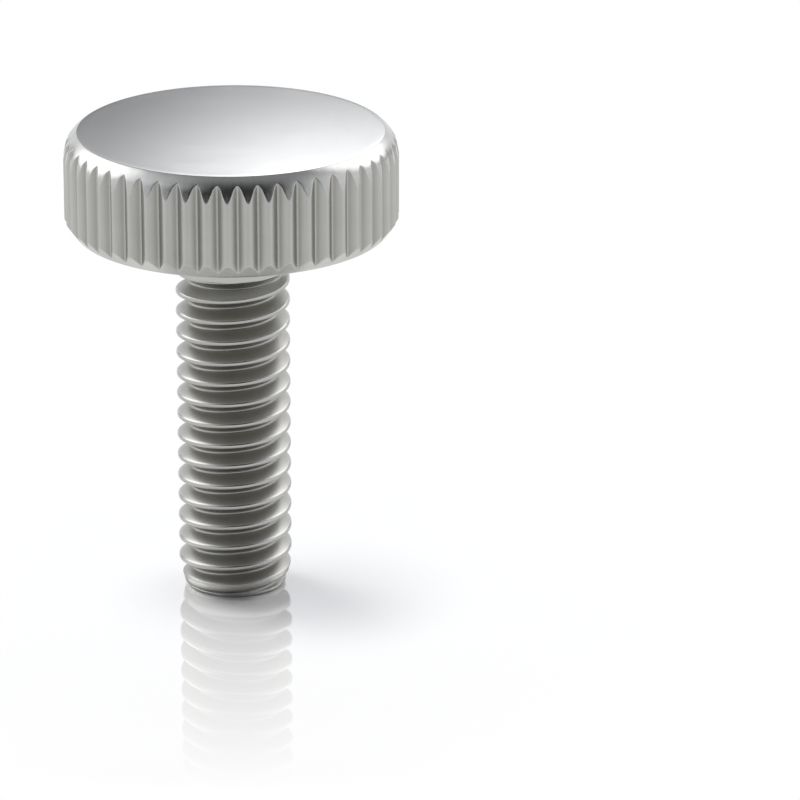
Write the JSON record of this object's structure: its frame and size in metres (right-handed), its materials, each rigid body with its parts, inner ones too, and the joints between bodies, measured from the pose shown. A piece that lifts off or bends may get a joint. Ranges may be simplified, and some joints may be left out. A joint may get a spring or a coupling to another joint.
{
  "type": "knurled thumb screw",
  "caption": "Turned stainless steel thumb screw with a broad, low, straight-knurled head, a thin collar under it, and a fully threaded right-hand shank with a flat chamfered tip.",
  "frame": {"origin": "middle of the flat tip face, which the screw stands on", "axes": "+Z along the screw's axis, from the tip up through the head; X and Y lie in the tip face"},
  "size_m": [0.012, 0.012, 0.0175],
  "materials": {
    "steel": "satin turned stainless steel"
  },
  "bodies": {
    "root": {"thumb_screw": "steel"}
  },
  "joints": []
}
